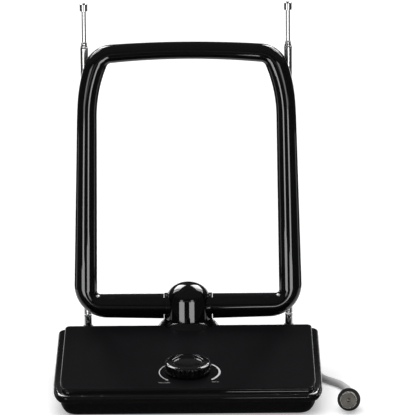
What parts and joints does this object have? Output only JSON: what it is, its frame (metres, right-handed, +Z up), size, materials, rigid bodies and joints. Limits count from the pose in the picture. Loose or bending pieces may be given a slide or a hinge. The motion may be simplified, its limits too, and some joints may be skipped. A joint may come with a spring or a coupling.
{
  "type": "indoor television antenna",
  "caption": "Indoor television antenna: black wedge base with a gain knob, a tilting hoop on a domed post, telescopic rods behind it and a coiled aerial lead.",
  "frame": {"origin": "centre of the base's footprint, on the surface it stands on", "axes": "+X to the right seen from the front, +Y to the back, +Z up"},
  "size_m": [0.177, 0.1969, 0.2245],
  "materials": {
    "casing_plastic": "glossy black moulded plastic with a fine satin grain",
    "loop_plastic": "polished black moulded plastic",
    "knob_plastic": "polished black moulded plastic",
    "foot_rubber": "matt black rubber",
    "screw_steel": "zinc plated steel",
    "ballast_steel": "bare sheet steel",
    "board_laminate": "green solder mask on glass laminate",
    "tinned_steel": "tin plated sheet steel",
    "nut_brass": "plain turned brass",
    "plain_aluminium": "drawn aluminium",
    "fitting_plastic": "satin black plastic",
    "rod_chrome": "bright chrome plate on brass tube",
    "lead_sheath": "pale grey flexible sheath",
    "plug_metal": "nickel plated brass",
    "plug_white": "natural plastic insulator"
  },
  "bodies": {
    "base": {"base_tray": "casing_plastic", "upper_shell": "casing_plastic", "rubber_feet": "foot_rubber", "case_screws": "screw_steel", "ballast_plate": "ballast_steel", "amplifier_board": "board_laminate", "shield_can": "tinned_steel", "gain_potentiometer": "tinned_steel", "potentiometer_nut": "nut_brass", "dc_socket": "fitting_plastic", "cable_gland": "fitting_plastic", "pivot_post": "loop_plastic", "pivot_collar_left": "loop_plastic", "pivot_collar_right": "loop_plastic", "post_screws": "screw_steel", "lead_to_coil": "lead_sheath", "lead_coil": "lead_sheath", "lead_to_plug": "lead_sheath", "plug_body": "fitting_plastic", "plug_shield": "plug_metal", "plug_insulator": "plug_white", "plug_pin": "plug_metal"},
    "knob": {"gain_knob": "knob_plastic", "potentiometer_shaft": "plain_aluminium"},
    "loop": {"loop_front_shell": "loop_plastic", "loop_rear_shell": "loop_plastic", "loop_element": "plain_aluminium"},
    "turret_left": {"rod_turret_left": "rod_chrome", "rod_screw_left": "screw_steel", "rod_pin_left": "screw_steel"},
    "lower_tube_left": {"rod_lower_tube_left": "rod_chrome"},
    "middle_tube_left": {"rod_middle_tube_left": "rod_chrome"},
    "upper_tube_left": {"rod_upper_tube_left": "rod_chrome"},
    "tip_left": {"rod_tip_left": "rod_chrome"},
    "turret_right": {"rod_turret_right": "rod_chrome", "rod_screw_right": "screw_steel", "rod_pin_right": "screw_steel"},
    "lower_tube_right": {"rod_lower_tube_right": "rod_chrome"},
    "middle_tube_right": {"rod_middle_tube_right": "rod_chrome"},
    "upper_tube_right": {"rod_upper_tube_right": "rod_chrome"},
    "tip_right": {"rod_tip_right": "rod_chrome"}
  },
  "joints": [
    {"name": "gain_turn", "type": "hinge", "parent": "base", "child": "knob", "pos_m": [0, -0.03576, 0.01957], "axis": [0, -0.1564, 0.9877], "range_deg": [-140, 140]},
    {"name": "loop_tilt", "type": "hinge", "parent": "base", "child": "loop", "pos_m": [0, 0.04639, 0.04186], "axis": [1, 0, 0], "range_deg": [0, 90]},
    {"name": "rod_swivel_left", "type": "hinge", "parent": "base", "child": "turret_left", "pos_m": [-0.061, 0.05639, 0.025], "axis": [0, 0, 1], "range_deg": [-90, 90]},
    {"name": "rod_tilt_left", "type": "hinge", "parent": "turret_left", "child": "lower_tube_left", "pos_m": [-0.061, 0.05639, 0.0326], "axis": [-1, 0, 0], "range_deg": [0, 90]},
    {"name": "middle_slide_left", "type": "slide", "parent": "lower_tube_left", "child": "middle_tube_left", "axis": [0, 0, 1], "range_m": [0, 0.142]},
    {"name": "upper_slide_left", "type": "slide", "parent": "middle_tube_left", "child": "upper_tube_left", "axis": [0, 0, 1], "range_m": [0, 0.137]},
    {"name": "tip_slide_left", "type": "slide", "parent": "upper_tube_left", "child": "tip_left", "axis": [0, 0, 1], "range_m": [-0.0188, 0.127]},
    {"name": "rod_swivel_right", "type": "hinge", "parent": "base", "child": "turret_right", "pos_m": [0.061, 0.05639, 0.025], "axis": [0, 0, -1], "range_deg": [-90, 90]},
    {"name": "rod_tilt_right", "type": "hinge", "parent": "turret_right", "child": "lower_tube_right", "pos_m": [0.061, 0.05639, 0.0326], "axis": [-1, 0, 0], "range_deg": [0, 90]},
    {"name": "middle_slide_right", "type": "slide", "parent": "lower_tube_right", "child": "middle_tube_right", "axis": [0, 0, 1], "range_m": [0, 0.142]},
    {"name": "upper_slide_right", "type": "slide", "parent": "middle_tube_right", "child": "upper_tube_right", "axis": [0, 0, 1], "range_m": [0, 0.137]},
    {"name": "tip_slide_right", "type": "slide", "parent": "upper_tube_right", "child": "tip_right", "axis": [0, 0, 1], "range_m": [-0.0188, 0.127]}
  ]
}
